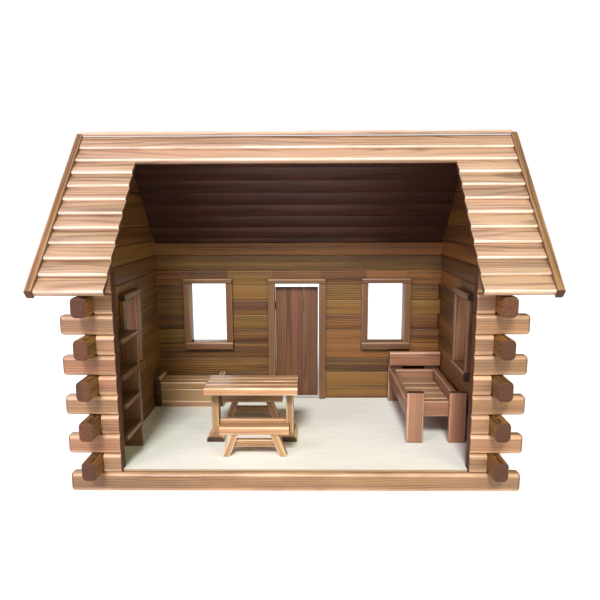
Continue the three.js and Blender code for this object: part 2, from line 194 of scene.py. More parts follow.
class Nodes:
    def __init__(self, name):
        self.material = bpy.data.materials.new(name)
        self.material.use_nodes = True
        self.tree = self.material.node_tree
        self.tree.nodes.clear()
        self.out = self.tree.nodes.new("ShaderNodeOutputMaterial")
        self.bsdf = self.tree.nodes.new("ShaderNodeBsdfPrincipled")
        self.link(self.bsdf.outputs[0], self.out.inputs[0])

    def link(self, a, b):
        self.tree.links.new(a, b)

    def put(self, value, socket):
        if hasattr(value, "is_output"):
            self.link(value, socket)
        else:
            socket.default_value = value

    def math(self, kind, a, b=0.0, c=0.0, clamp=False):
        node = self.tree.nodes.new("ShaderNodeMath")
        node.operation = kind
        node.use_clamp = clamp
        for value, socket in zip((a, b, c), node.inputs):
            self.put(value, socket)
        return node.outputs[0]

    def vector(self, kind, a, b):
        node = self.tree.nodes.new("ShaderNodeVectorMath")
        node.operation = kind
        self.put(a, node.inputs[0])
        self.put(b, node.inputs[1])
        return node.outputs[1 if kind in ("LENGTH", "DOT_PRODUCT") else 0]

    def attribute(self, name, output="Fac"):
        node = self.tree.nodes.new("ShaderNodeAttribute")
        node.attribute_name = name
        return node.outputs[output]

    def noise(self, vector, scale=1.0, detail=3.0, rough=0.55, distort=0.0):
        node = self.tree.nodes.new("ShaderNodeTexNoise")
        self.put(vector, node.inputs["Vector"])
        node.inputs["Scale"].default_value = scale
        node.inputs["Detail"].default_value = detail
        node.inputs["Roughness"].default_value = rough
        node.inputs["Distortion"].default_value = distort
        return node.outputs["Fac"]

    def ramp(self, value, *stops):
        node = self.tree.nodes.new("ShaderNodeValToRGB")
        self.put(value, node.inputs[0])
        ramp = node.color_ramp
        while len(ramp.elements) < len(stops):
            ramp.elements.new(0.5)
        for element, (at, colour) in zip(ramp.elements, stops):
            element.position = at
            element.color = colour if len(colour) == 4 else (*colour, 1)
        return node.outputs[0]

    def mix(self, factor, a, b, kind="MIX"):
        node = self.tree.nodes.new("ShaderNodeMix")
        node.data_type = "RGBA"
        node.blend_type = kind
        self.put(factor, node.inputs[0])
        for value, socket in ((a, node.inputs[6]), (b, node.inputs[7])):
            self.put(value if hasattr(value, "is_output") else (*value, 1), socket)
        return node.outputs[2]

    def bump(self, height, strength, distance):
        node = self.tree.nodes.new("ShaderNodeBump")
        node.inputs["Strength"].default_value = strength
        node.inputs["Distance"].default_value = distance
        self.put(height, node.inputs["Height"])
        self.link(node.outputs[0], self.bsdf.inputs["Normal"])


# How often the wood's patterns repeat, per metre along the grain and across it
WARP = (7, 45, 45)
DRIFT = (3.1, 14, 14)
STREAKS = (2.2, 120, 120)
FIBRE = (22, 1500, 1500)
BLOTCH = (9, 26, 26)
PORES = (60, 520, 520)


def grain_noise(n, grain, scale, detail, rough):
    return n.noise(n.vector("MULTIPLY", grain, scale), 1, detail, rough)


def shade(colour, amount):
    return tuple(c * amount for c in colour)


# The two ways a bar's colour leans
RED_WAY = (1.12, 0.92, 1.02)
OLIVE_WAY = (0.95, 1.03, 0.88)


def growth_rings(n, grain, pitch, wander):
    """How dark the growth ring is here, from 0 in early wood to 1 in late wood."""
    warp = grain_noise(n, grain, WARP, 3, 0.5)
    drift = grain_noise(n, grain, DRIFT, 2, 0.5)
    depth = n.vector("LENGTH", n.vector("MULTIPLY", grain, (0, 1, 1)), (0, 0, 0))
    depth = n.math("ADD", depth, n.math("MULTIPLY", warp, 5.5 * MM))
    depth = n.math("ADD", depth, n.math("MULTIPLY", drift, wander))
    ring = n.math("FRACT", n.math("DIVIDE", depth, pitch * MM))
    return n.ramp(ring, (0.0, (0, 0, 0)), (0.45, (0.12,) * 3), (0.82, (1, 1, 1)), (1.0, (0, 0, 0)))


def end_grain(n, grain, late, end):
    """Rings and pores on sawn ends, one half of them darker."""
    ends = n.mix(n.math("MULTIPLY", late, 0.85), shade(end, 1.1), shade(end, 0.3))
    pores = grain_noise(n, grain, PORES, 4, 0.75)
    ends = n.mix(n.ramp(pores, (0.45, (0, 0, 0)), (0.7, (0.8,) * 3)), ends, shade(end, 1.7))
    split = n.tree.nodes.new("ShaderNodeSeparateXYZ")
    n.link(grain, split.inputs[0])
    across = n.math("ADD", n.math("MULTIPLY", split.outputs[1], 30.0), 0.5)
    half = n.ramp(across, (0.35, (0.62,) * 3), (0.6, (1, 1, 1)))
    return n.mix(0.8, ends, n.mix(1.0, ends, half, "MULTIPLY"))


def wood(name, light, dark, worn, end, pitch=3.2, contrast=0.62, spread=0.5, gloss=0.42,
         coat=0.25, streak=0.55, wear_and_highlight=0.55, tint=1.0, wander=0.013):
    """Stained softwood: growth rings round an off-centre pith, fibres, uneven stain, edges
    rubbed lighter, partly as real wear and partly as a painted highlight, and end grain that
    took up more stain. pitch is the ring spacing in mm; contrast, streak and spread say how
    much rings, streaks and the bar's own tone darken."""
    n = Nodes(name)
    grain = n.attribute("grain", "Vector")
    tone = n.attribute("tone")
    edge = n.attribute("edge")
    cap = n.attribute("cap")
    late = growth_rings(n, grain, pitch, wander)
    fibre = grain_noise(n, grain, FIBRE, 2, 0.7)
    blotch = grain_noise(n, grain, BLOTCH, 4, 0.6)
    stain = n.math("MULTIPLY", late, contrast)
    for pattern, weight in (
        (grain_noise(n, grain, STREAKS, 3, 0.6), streak * 2.2),
        (blotch, 0.7),
        (tone, spread),
        (fibre, 0.55),
    ):
        stain = n.math("ADD", stain, n.math("MULTIPLY", n.math("SUBTRACT", pattern, 0.5), weight))
    stain = n.math("ADD", stain, 0.16, clamp=True)
    colour = n.mix(stain, light, dark)
    red, olive = (tuple(1 + tint * (c - 1) for c in way) for way in (RED_WAY, OLIVE_WAY))
    hue = n.math("FRACT", n.math("MULTIPLY", tone, 7.31))
    colour = n.mix(1.0, colour, n.mix(hue, red, olive), "MULTIPLY")
    # Rounded edges rubbed lighter away from the end grain: partly real wear, partly a painted
    # highlight
    rub_and_highlight = n.math("MULTIPLY", edge, n.ramp(blotch, (0.3, (0.25,) * 3), (0.65, (1, 1, 1))))
    rub_and_highlight = n.math("MULTIPLY", rub_and_highlight, n.math("SUBTRACT", 1.0, cap))
    colour = n.mix(n.math("MULTIPLY", rub_and_highlight, wear_and_highlight), colour, worn)
    on_end = n.ramp(cap, (0.3, (0, 0, 0)), (0.8, (1, 1, 1)))
    colour = n.mix(on_end, colour, end_grain(n, grain, late, end))
    n.link(colour, n.bsdf.inputs["Base Color"])
    rough = n.math("ADD", n.math("MULTIPLY", fibre, 0.16), gloss - 0.08)
    rough = n.math("ADD", rough, n.math("MULTIPLY", cap, 0.3))
    n.link(rough, n.bsdf.inputs["Roughness"])
    n.link(n.math("MULTIPLY", n.math("SUBTRACT", 1.0, cap), coat), n.bsdf.inputs["Coat Weight"])
    n.bsdf.inputs["Specular IOR Level"].default_value = 0.4
    n.bsdf.inputs["Coat Roughness"].default_value = 0.4
    n.bump(n.math("ADD", n.math("MULTIPLY", late, -0.6), fibre), 0.35, 0.25 * MM)
    return n.material


VENEER = 1.0 * MM


def plywood(name):
    """Untreated pale plywood: a rotary-cut face with wide soft figure along X, and layers
    of veneer on its edges."""
    n = Nodes(name)
    grain = n.attribute("grain", "Vector")
    cap = n.attribute("cap")
    figure = n.noise(n.vector("MULTIPLY", grain, (3.0, 11, 300)), 1, 4, 0.55, 0.6)
    bands = n.math("FRACT", n.math("MULTIPLY", figure, 9.0))
    soft = n.ramp(bands, (0.0, (0, 0, 0)), (0.7, (0.6,) * 3), (1.0, (0, 0, 0)))
    fibre = grain_noise(n, grain, (40, 900, 900), 3, 0.7)
    blotch = grain_noise(n, grain, (5, 8, 8), 3, 0.6)
    dark = n.math("ADD", n.math("MULTIPLY", soft, 0.30), n.math("MULTIPLY", fibre, 0.45))
    dark = n.math("ADD", dark, n.math("MULTIPLY", blotch, 0.35))
    colour = n.mix(dark, (0.90, 0.93, 0.87), (0.70, 0.70, 0.59))
    split = n.tree.nodes.new("ShaderNodeSeparateXYZ")
    n.link(grain, split.inputs[0])
    layer = n.math("FRACT", n.math("DIVIDE", split.outputs[2], VENEER))
    glue = n.ramp(layer, (0.45, (0, 0, 0)), (0.55, (1, 1, 1)))
    colour = n.mix(cap, colour, n.mix(glue, (0.42, 0.33, 0.19), (0.16, 0.10, 0.05)))
    n.link(colour, n.bsdf.inputs["Base Color"])
    n.link(n.math("ADD", n.math("MULTIPLY", fibre, 0.2), 0.6), n.bsdf.inputs["Roughness"])
    n.bump(fibre, 0.25, 0.2 * MM)
    return n.material


def metal(name, colour, rough):
    """Dull metal with worn patches and a fine surface."""
    n = Nodes(name)
    where = n.tree.nodes.new("ShaderNodeTexCoord").outputs["Object"]
    worn = n.noise(where, 260, 4, 0.6)
    fine = n.noise(where, 2400, 2, 0.6)
    n.link(n.mix(worn, shade(colour, 0.62), colour), n.bsdf.inputs["Base Color"])
    n.link(n.math("ADD", n.math("MULTIPLY", worn, 0.3), rough - 0.1), n.bsdf.inputs["Roughness"])
    n.bsdf.inputs["Metallic"].default_value = 1.0
    n.bump(fine, 0.15, 0.1 * MM)
    return n.material


# Each wood: its light and dark stain, its rubbed edges with their painted highlight, and its end grain
LOG = wood(
    "stained_log", (0.235, 0.115, 0.042), (0.055, 0.022, 0.010), (0.64, 0.40, 0.23),
    (0.085, 0.028, 0.011), contrast=0.85, streak=1.0, wear_and_highlight=0.9)
# Wall logs: the front logs' stain made darker as painted shade for the walls that take less light,
# with little rubbed highlight on their edges
SHADED_WALL_LOG = wood(
    "wall_log_painted_shade", (0.205, 0.098, 0.018), (0.040, 0.015, 0.004), (0.20, 0.10, 0.022),
    (0.085, 0.030, 0.012), contrast=0.9, wear_and_highlight=0.3, spread=0.85, streak=1.15, gloss=0.5, coat=0.1)
# Underside of the roof boards: a dark copy of the roof wood, painted shade under the roof
ROOF_UNDERSIDE_SHADE = wood(
    "roof_underside_painted_shade", (0.075, 0.031, 0.018), (0.024, 0.010, 0.007), (0.05, 0.02, 0.012),
    (0.03, 0.012, 0.008), pitch=3.8, wear_and_highlight=0.2, gloss=0.55, coat=0.05)
ROOF = wood(
    "varnished_roof_board", (0.44, 0.287, 0.172), (0.140, 0.073, 0.035), (0.88, 0.71, 0.58),
    (0.110, 0.055, 0.022), pitch=5.5, contrast=0.6, spread=0.5, gloss=0.34, streak=1.35,
    wear_and_highlight=0.75, tint=0.3, wander=0.04)
TRIM = wood(
    "stained_casing", (0.135, 0.062, 0.024), (0.035, 0.014, 0.006), (0.38, 0.21, 0.10),
    (0.03, 0.013, 0.008), contrast=0.8, wear_and_highlight=0.85, coat=0.15)
DOOR = wood(
    "stained_door_board", (0.165, 0.075, 0.032), (0.055, 0.021, 0.010), (0.17, 0.09, 0.04),
    (0.045, 0.02, 0.011), pitch=3.0, contrast=0.8, spread=0.3, wear_and_highlight=0.3, coat=0.12)
FURNITURE = wood(
    "stained_furniture", (0.320, 0.160, 0.050), (0.090, 0.038, 0.016), (0.85, 0.60, 0.38),
    (0.060, 0.026, 0.012), pitch=2.8, contrast=0.8, streak=0.7, wear_and_highlight=0.95)
BED = wood(
    "stained_bed_board", (0.250, 0.115, 0.050), (0.062, 0.025, 0.012), (0.64, 0.40, 0.26),
    (0.060, 0.024, 0.012), pitch=2.8, contrast=0.8, streak=0.7, wear_and_highlight=0.85)
PLY = plywood("pale_plywood")
BRASS = metal("dull_brass", (0.62, 0.46, 0.22), 0.42)
STEEL = metal("nail_steel", (0.72, 0.69, 0.64), 0.35)


# ---------------------------------------------------------------- sizes read from the frame

def size(node):
    """(low, high) of a CAD node along X, Y and Z."""
    lo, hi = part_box(node)
    return tuple((lo[i], hi[i]) for i in range(3))


SILL = size("front_sill_log")
STUB = {side: size(f"front_stubs_{side}") for side in ("left", "right")}
WALLS = {side: size(f"wall_{side}") for side in ("left", "right")}
BACK = size("wall_back")
FLOOR = size("floor_panel")
ROOF_BACK = size("roof_back")

# Logs: pitch and height, and corner radii in mm on the outer and inner faces, at the ends
# and on the ends that run out past the corners
COURSE = STUB["left"][2][0]
LOG_H = SILL[2][1] - SILL[2][0]
R_OUT, R_IN, R_END, R_PASS = 5.6, 1.1, 3.6, 6.0
LOG_SECTION = (R_OUT, R_IN, R_IN, R_OUT)
PASS_SECTION = (R_PASS,) * 4
HALF_LOG = 9 * MM

# Where the walls stand and how far their logs reach
FRONT_Y = SILL[1][0]
BACK_IN = BACK[1][0]
IN_X = -WALLS["left"][0][1]
OPEN_X = -STUB["left"][0][1]
FAR_X = SILL[0][1]
PASS_Y = WALLS["left"][1][1]
SHORT_X = FLOOR[0][1]
SHORT_Y = FLOOR[1][1]
PASS_X = FAR_X - IN_X - HALF_LOG
PLATE_COURSE = 12
COURSES = 18

# Roof: lapped boards on two slopes
RIDGE_Z = ROOF_BACK[2][1] + 0.2 * MM
ROOF_END = ROOF_BACK[0][1]
ROWS, ROW = 11, 26.4 * MM
ROOF_T, STEP = 8 * MM, 4 * MM
SLOPE = math.radians(42.4)
TAN, COS, SIN = math.tan(SLOPE), math.cos(SLOPE), math.sin(SLOPE)
CUT_ROWS = 2
CUT_X = OPEN_X - 1 * MM
UNDER_Z = RIDGE_Z - ROOF_T / COS - 0.5 * MM
LIP_R = 2.9 * MM
# How much the rounded lower lip of a roof board is rubbed lighter with a painted highlight, from its
# face round to its butt
LIP_WEAR_AND_HIGHLIGHT = (0.35, 0.9, 1, 1, 0.8, 0.3)

# Casings: strip width, header and sill heights, the liner board and its room in the logs
TRIM_W = 11.5 * MM
HEADER_H = 8.5 * MM
SILL_H = 13 * MM
LINING = 3 * MM
LINER = 3.3 * MM
GAP = 0.3 * MM
JOINT_GAP = 0.25 * MM


def under_roof(y):
    return UNDER_Z - abs(y) * TAN


def opening(node, low_trim):
    """The opening that a casing frames: its span along the wall and its heights."""
    x, y, z = size(node)
    along = x if x[1] - x[0] > y[1] - y[0] else y
    return along[0] + TRIM_W, along[1] - TRIM_W, z[0] + low_trim, z[1] - HEADER_H


WINDOWS = {f"window_frame_{n}": opening(f"window_frame_{n}", SILL_H)
           for n in ("back_left", "back_right", "left", "right")}
DOORWAY = opening("door_frame", 0)


# ---------------------------------------------------------------- walls

def log_segments(low, high, z0, z1, holes):
    """Splits a log's span round the openings: (a, b, lowest z, highest z) for each part."""
    parts, at = [], low
    for a, b, lo, hi in sorted(holes):
        a, b, lo, hi = a - LINER, b + LINER, lo - LINER, hi + LINER
        if hi <= z0 or lo >= z1:
            continue
        parts.append((at, a, z0, z1))
        if lo > z0:
            parts.append((a, b, z0, lo))
        if hi < z1:
            parts.append((a, b, hi, z1))
        at = b
    parts.append((at, high, z0, z1))
    return parts


def under_slope(lo_z, hi_z):
    """Keeps the points of a log along Y between two heights and its ends under the roof."""
    def limit(x, z, y):
        z = min(max(z, lo_z), hi_z)
        reach = (UNDER_Z - z) / TAN
        return x, z, max(-reach, min(reach, y))
    return limit


def side_wall(side):
    """Logs along Y; odd ones run past the front, even ones past the back, and those of the
    gable stop under the roof."""
    bars = Bars()
    x = WALLS[side][0]
    sign = -1 if side == "left" else 1
    hole = [WINDOWS[f"window_frame_{side}"]]
    radii = LOG_SECTION if sign < 0 else (R_IN, R_OUT, R_OUT, R_IN)
    for k in range(COURSES):
        z0 = k * COURSE
        z1 = z0 + LOG_H
        top = min(z1, UNDER_Z - 2 * MM)
        if top - z0 < 3 * MM:
            continue
        tone, figure = random.random(), new_figure()
        if k >= PLATE_COURSE:
            low, high = -PASS_Y, PASS_Y
            # Gable logs under the roof take only the darker tones: painted shade from the roof
            tone = 0.75 + tone / 4
        else:
            past = -PASS_Y if k % 2 else PASS_Y
            corner = math.copysign(BACK_IN + HALF_LOG, past)
            ends = (R_END, 0) if past < 0 else (0, R_END)
            bars.bar(X, Z, Y, x, (z0, z1), sorted((past, corner)), PASS_SECTION, ends, tone,
                     limit=under_slope(z0, z1), figure=figure)
            low, high = (corner, SHORT_Y) if past < 0 else (-SHORT_Y, corner)
        for i, (a, b, lo, hi) in enumerate(log_segments(low, high, z0, z1, hole)):
            bars.bar(X, Z, Y, x, (z0, z1), (a, b), radii, (0, 0), (tone + i * 0.37) % 1,
                     limit=under_slope(lo, min(hi, top)), figure=figure)
    nail_x = sum(x) / 2 - sign * 2 * MM
    for k in range(1, 11, 2):
        nail(bars, (nail_x, FRONT_Y - 7 * MM, k * COURSE + LOG_H), Z)
    return bars.build(f"log_wall_{side}", "house", [f"wall_{side}"], [SHADED_WALL_LOG, STEEL])


def nail(bars, at, up):
    """A nail head, just proud of the wood."""
    across = X if up is not X else Y
    other = up.cross(across)
    r = 1.1 * MM
    bars.bar(across, other, up, (-r, r), (-r, r), (-1 * MM, 0.15 * MM), (1.05,) * 4, (0, 0.1),
             slot=1, origin=at)


def back_wall():
    """Logs along X; even ones fit between the side walls, odd ones run past them."""
    bars = Bars()
    y = BACK[1]
    holes = [WINDOWS["window_frame_back_left"], WINDOWS["window_frame_back_right"],
             (DOORWAY[0], DOORWAY[1], COURSE + LINER, DOORWAY[3])]
    for k in range(PLATE_COURSE):
        z0 = k * COURSE
        z1 = z0 + LOG_H
        reach = BACK[0][1] if k % 2 else SHORT_X
        short = 3.4 * MM if k in (6, 8) else 0
        tone, figure = random.random(), new_figure()
        low, high = -reach, reach - short
        if k % 2:
            for span, ends in passing(low, high):
                bars.bar(Y, Z, X, y, (z0, z1), span, PASS_SECTION, ends, tone, figure=figure,
                         limit=roof_cut(z0, z1))
            low, high = low + PASS_X, high - PASS_X
        for i, (a, b, lo, hi) in enumerate(log_segments(low, high, z0, z1, holes)):
            bars.bar(Y, Z, X, y, (z0, z1), (a, b), (R_IN, R_OUT, R_OUT, R_IN), (0, 0),
                     (tone + i * 0.29) % 1, limit=roof_cut(lo, hi), figure=figure)
        if short:
            set_back = (BACK_IN + 5 * MM, y[1])
            bars.bar(Y, Z, X, set_back, (z0, z1), (high, reach), (1,) * 4, (0.2, 0.2), tone,
                     figure=figure)
    return bars.build("log_wall_back", "house", ["wall_back"], [SHADED_WALL_LOG])


def passing(low, high):
    """The two ends of a log along X that run out past the corners, and their rounding."""
    return ((low, low + PASS_X), (R_END, 0)), ((high - PASS_X, high), (0, R_END))


def roof_cut(lo_z, hi_z):
    """Keeps the points of a log along X between two heights and under the sloping roof."""
    def limit(y, z, x):
        return y, min(max(z, lo_z), hi_z, under_roof(y)), x
    return limit


def stubs(side):
    """Short logs beside the open front; even ones run out past the corner."""
    bars = Bars()
    sign = -1 if side == "left" else 1
    y = STUB[side][1]
    for k in range(1, 11):
        z = (k * COURSE, k * COURSE + LOG_H)
        tone, figure = random.random(), new_figure()
        far = SHORT_X
        if k % 2 == 0:
            far = FAR_X - PASS_X
            span, ends = passing(-FAR_X, FAR_X)[sign > 0]
            bars.bar(Y, Z, X, y, z, span, PASS_SECTION, ends, tone, figure=figure)
        span = sorted((sign * OPEN_X, sign * far))
        ends = (0.8, 0) if sign > 0 else (0, 0.8)
        bars.bar(Y, Z, X, y, z, span, LOG_SECTION, ends, tone, figure=figure)
    return bars.build(f"short_logs_{side}", "house", [f"front_stubs_{side}"], [LOG])


def sill():
    """The long lowest log across the open front."""
    bars = Bars()
    figure = new_figure()
    tone = 0.95
    for span, ends in passing(-FAR_X, FAR_X):
        bars.bar(Y, Z, X, SILL[1], SILL[2], span, PASS_SECTION, ends, tone, figure=figure)
    middle = (PASS_X - FAR_X, FAR_X - PASS_X)
    bars.bar(Y, Z, X, SILL[1], SILL[2], middle, LOG_SECTION, (0, 0), tone, figure=figure)
    return bars.build("sill_log", "house", ["front_sill_log"], [LOG])


sill()
for side in ("left", "right"):
    stubs(side)
    side_wall(side)
back_wall()


# ---------------------------------------------------------------- floor

def floor():
    """The plywood sheet, with a tongue that fills the open front. Its edge faces have points
    of their own, so that only they show the veneer layers."""
    x, y, z = FLOOR
    tongue = OPEN_X - GAP
    outline = [(-tongue, y[0]), (tongue, y[0]), (tongue, -SHORT_Y), (x[1], -SHORT_Y),
               (x[1], y[1]), (x[0], y[1]), (x[0], -SHORT_Y), (-tongue, -SHORT_Y)]
    n = len(outline)
    bars = Bars()
    for height in (z[1], z[0]):
        bars.points += [Vector((px, py, height)) for px, py in outline]
    bars.cap = [0] * (2 * n)
    bars.face(list(range(n)), False, 0)
    bars.face([2 * n - 1 - i for i in range(n)], False, 0)
    for i in range(n):
        (ax, ay), (bx, by) = outline[i], outline[(i + 1) % n]
        first = len(bars.points)
        for corner in ((ax, ay, z[0]), (bx, by, z[0]), (bx, by, z[1]), (ax, ay, z[1])):
            bars.points.append(Vector(corner))
            bars.cap.append(1)
        bars.face([first, first + 1, first + 2, first + 3], False, 0)
    bars.grain = [tuple(p) for p in bars.points]
    bars.tone = [0.5] * len(bars.points)
    bars.edge = [0.0] * len(bars.points)
    return bars.build("floor_sheet", "house", ["floor_panel"], [PLY])


def bearer():
    """Three battens in a U under the sheet."""
    x, y, z = size("floor_bearer")
    w = 12 * MM
    bars = Bars()
    bars.bar(Y, Z, X, (y[1] - w, y[1]), z, x, (0.8,) * 4)
    for a, b in ((x[0], x[0] + w), (x[1] - w, x[1])):
        bars.bar(X, Z, Y, (a, b), z, (y[0], y[1] - w - 0.2 * MM), (0.8,) * 4)
    return bars.build("floor_bearers", "house", ["floor_bearer"], [LOG])


floor()
bearer()


# ---------------------------------------------------------------- roof

def slope_axes(side):
    """Unit vectors down the slope and into the roof."""
    down = Vector((0, side * COS, -SIN))
    into = Vector((0, -side * SIN, -COS))
    return down, into


def board_section(row):
    """Outline of one lapped board as (down the slope, into the roof, how rubbed and highlit),
    with its rounded lower edge standing proud of the next board and carrying a painted
    highlight. The last four points are its underside, which takes the painted shade."""
    s0, s1 = (row - 1) * ROW, row * ROW
    inset, bevel = 0.1 * MM, 0.7 * MM
    covered = STEP if row > 1 else 0.6 * MM
    points = [(s0 + inset, covered + 0.05 * MM, 0)]
    for i, rubbed_and_highlight in enumerate(LIP_WEAR_AND_HIGHLIGHT):
        t = math.pi / 2 * i / (len(LIP_WEAR_AND_HIGHLIGHT) - 1)
        points.append((s1 - LIP_R + LIP_R * math.sin(t), LIP_R * (1 - math.cos(t)), rubbed_and_highlight))
    points.append((s1, ROOF_T - bevel, 0.1))
    points.append((s1 - 0.6 * MM, ROOF_T, 0.2))
    points.append((s0 + bevel, ROOF_T, 0.2))
    points.append((s0 + inset, ROOF_T - bevel, 0.1))
    return points


def ridge_mitre(depth):
    """How far down the slope a cut on the ridge plane lies at a depth into the roof."""
    return depth * TAN + 0.2 * MM / COS


def roof_board(bars, side, row, span, tone):
    down, into = slope_axes(side)
    base = Vector((0, 0, RIDGE_Z))
    outline = board_section(row)
    if row == 1:
        outline = [(max(s, ridge_mitre(d)), d, e) for s, d, e in outline]
    n = len(outline)
    shift = random.uniform(0, 40)
    pu = random.uniform(-0.03, 0.05)
    pv = random.uniform(0.012, 0.05)
    first = len(bars.points)
    r = 0.5 * MM
    mid_s, mid_d = (row - 0.5) * ROW, 5 * MM
    rings = ((span[0], r, 1), (span[0] + r, 0, 0), (span[1] - r, 0, 0), (span[1], r, 1))
    for at, inset, cap in rings:
        for s, d, e in outline:
            s += inset * (1 if s < mid_s else -1)
            d += inset * (1 if d < mid_d else -1)
            bars.points.append(base + down * s + into * d + X * at)
            bars.grain.append((at + shift, s - (row - 1) * ROW - pu, d - pv))
            bars.tone.append(tone)
            bars.edge.append(e)
            bars.cap.append(cap)
    forward = down.cross(into).dot(X) > 0
    for i in range(len(rings) - 1):
        near, far = first + i * n, first + (i + 1) * n
        for j in range(n):
            k = (j + 1) % n
            q = [near + j, near + k, far + k, far + j]
            # The underside faces take the dark copy of the roof wood: painted shade
            bars.face(q if forward else q[::-1], True, 1 if j >= n - 4 else 0)
    low = [first + j for j in range(n)]
    high = [first + (len(rings) - 1) * n + j for j in range(n)]
    bars.face(low[::-1] if forward else low, False, 0)
    bars.face(high if forward else high[::-1], False, 0)


def roof_slope(name, side):
    """Eleven lapped boards; in front all but the top two are cut away over the opening."""
    bars = Bars()
    for row in range(1, ROWS + 1):
        spans = [(-ROOF_END, ROOF_END)]
        if side < 0 and row > CUT_ROWS:
            spans = [(-ROOF_END, -CUT_X), (CUT_X, ROOF_END)]
        for span in spans:
            roof_board(bars, side, row, span, random.random())
    # The boards' undersides get the dark copy of their wood, painted shade
    materials = [ROOF, ROOF_UNDERSIDE_SHADE]
    return bars.build(f"roof_boards_{name}", "house", [f"roof_{name}"], materials)


def ridge():
    x, y, z = size("ridge_strip")
    bars = Bars()
    bars.bar(Y, Z, X, y, z, x, (1.6, 1.6, 2.2, 2.2), (0.8, 0.8))
    return bars.build("ridge_cap", "house", ["ridge_strip"], [ROOF])


def rake(name, side, end):
    """Strip along the board ends, mitred at the ridge."""
    node = f"rake_trim_{name}_{end}"
    x = size(node)[0]
    down, into = slope_axes(side)
    depth = (-2.5 * MM, 11 * MM)
    length = (-3 * MM, ROWS * ROW + 1 * MM)
    outer, inner = 2.8, 1.2
    radii = (outer, inner, inner, outer) if end == "left" else (inner, outer, outer, inner)

    def mitre(x_at, depth_at, at):
        return x_at, depth_at, max(at, ridge_mitre(depth_at))

    bars = Bars()
    bars.bar(X, into, down, x, depth, length, radii, (0, 0.9), limit=mitre, origin=(0, 0, RIDGE_Z))
    return bars.build(f"gable_strip_{name}_{end}", "house", [node], [LOG])


SLOPES = (("front", -1), ("back", 1))
for name, side in SLOPES:
    roof_slope(name, side)
ridge()
for name, side in SLOPES:
    for end in ("left", "right"):
        rake(name, side, end)


# ---------------------------------------------------------------- frames and door

def casing(node, wall):
    """Rounded strips round an opening on the room side, and liner boards through it."""
    box = size(node)
    a, b, z0, z1 = WINDOWS.get(node, DOORWAY)
    window = node in WINDOWS
    if wall == "back":
        along, across = X, Y
        outwards = 1
        room, outside = BACK_IN - GAP, box[1][1]
    else:
        along, across = Y, X
        outwards = -1 if wall == "left" else 1
        room = outwards * (IN_X - GAP)
        outside = box[0][0] if wall == "left" else box[0][1]

    def proud(thickness):
        return sorted((room, room - outwards * thickness * MM))

    through = sorted((room - outwards * 1 * MM, outside))
    upright = (z0 + JOINT_GAP, z1 - JOINT_GAP)
    trim_span = (a - TRIM_W, b + TRIM_W)
    liner_span = (a - LINING, b + LINING)
    soft, square = (2.4,) * 4, (0.5,) * 4
    bars = Bars()
    for strip in ((a - TRIM_W, a), (b, b + TRIM_W)):
        bars.bar(across, along, Z, proud(8), strip, upright, soft, (0.6, 0.6))
    bars.bar(across, Z, along, proud(9), (z1, box[2][1]), trim_span, (2.6,) * 4, (1, 1))
    if window:
        bars.bar(across, Z, along, proud(10), (box[2][0], z0), trim_span, (3.2,) * 4, (1, 1))
    for board in ((a - LINING, a), (b, b + LINING)):
        bars.bar(across, along, Z, through, board, upright, square, (0.2, 0.2))
    levels = [(z1 + JOINT_GAP, z1 + LINING)]
    if window:
        levels.append((z0 - LINING, z0 - JOINT_GAP))
    for level in levels:
        bars.bar(across, Z, along, through, level, liner_span, square, (0.2, 0.2))
    return bars.build(node.replace("frame", "casing"), "house", [node], [TRIM])


casing("door_frame", "back")
casing("window_frame_back_left", "back")
casing("window_frame_back_right", "back")
casing("window_frame_left", "left")
casing("window_frame_right", "right")


def door():
    """Three upright boards, two cross battens and two hinges."""
    x, y, z = size("door_leaf")
    count = 3
    w = (x[1] - x[0]) / count
    split = 0.08 * MM
    bars = Bars()
    for i in range(count):
        board = (x[0] + i * w + split, x[0] + (i + 1) * w - split)
        bars.bar(X, Y, Z, board, y, z, (0.9,) * 4, (0.6, 0.6), 0.35 + 0.2 * i)
    bars.build("door_boards", "door", ["door_leaf"], [DOOR])
    for which in ("lower", "upper"):
        bx, by, bz = size(f"door_batten_{which}")
        batten = Bars()
        batten.bar(Z, Y, X, bz, by, bx, (0.8,) * 4, (0.8, 0.8))
        batten.build(f"door_cleat_{which}", "door", [f"door_batten_{which}"], [DOOR])
        hinge(which)


def lathe(bars, axis, centre, profile, count=28, slot=0):
    """A turned piece: profile is (radius, distance along the axis)."""
    side = X if abs(axis.x) < 0.5 else Y
    other = axis.cross(side)
    first = len(bars.points)
    for r, h in profile:
        for i in range(count):
            t = 2 * math.pi * i / count
            p = Vector(centre) + axis * h + side * (r * math.cos(t)) + other * (r * math.sin(t))
            bars.points.append(p)
            bars.grain.append(tuple(p))
            bars.tone.append(0.5)
            bars.edge.append(0)
            bars.cap.append(0)
    for i in range(len(profile) - 1):
        for j in range(count):
            k = (j + 1) % count
            near, far = first + i * count, first + (i + 1) * count
            bars.face([near + j, near + k, far + k, far + j], True, slot)
    bars.face([first + count - 1 - j for j in range(count)], False, slot)
    last = first + (len(profile) - 1) * count
    bars.face([last + j for j in range(count)], False, slot)


def screw(bars, at):
    """A countersunk screw head facing outwards."""
    q = 1.25 * MM
    lathe(bars, Y, at, [(q, -0.1 * MM), (q, 0.05 * MM), (q * 0.7, 0.3 * MM)], 20)


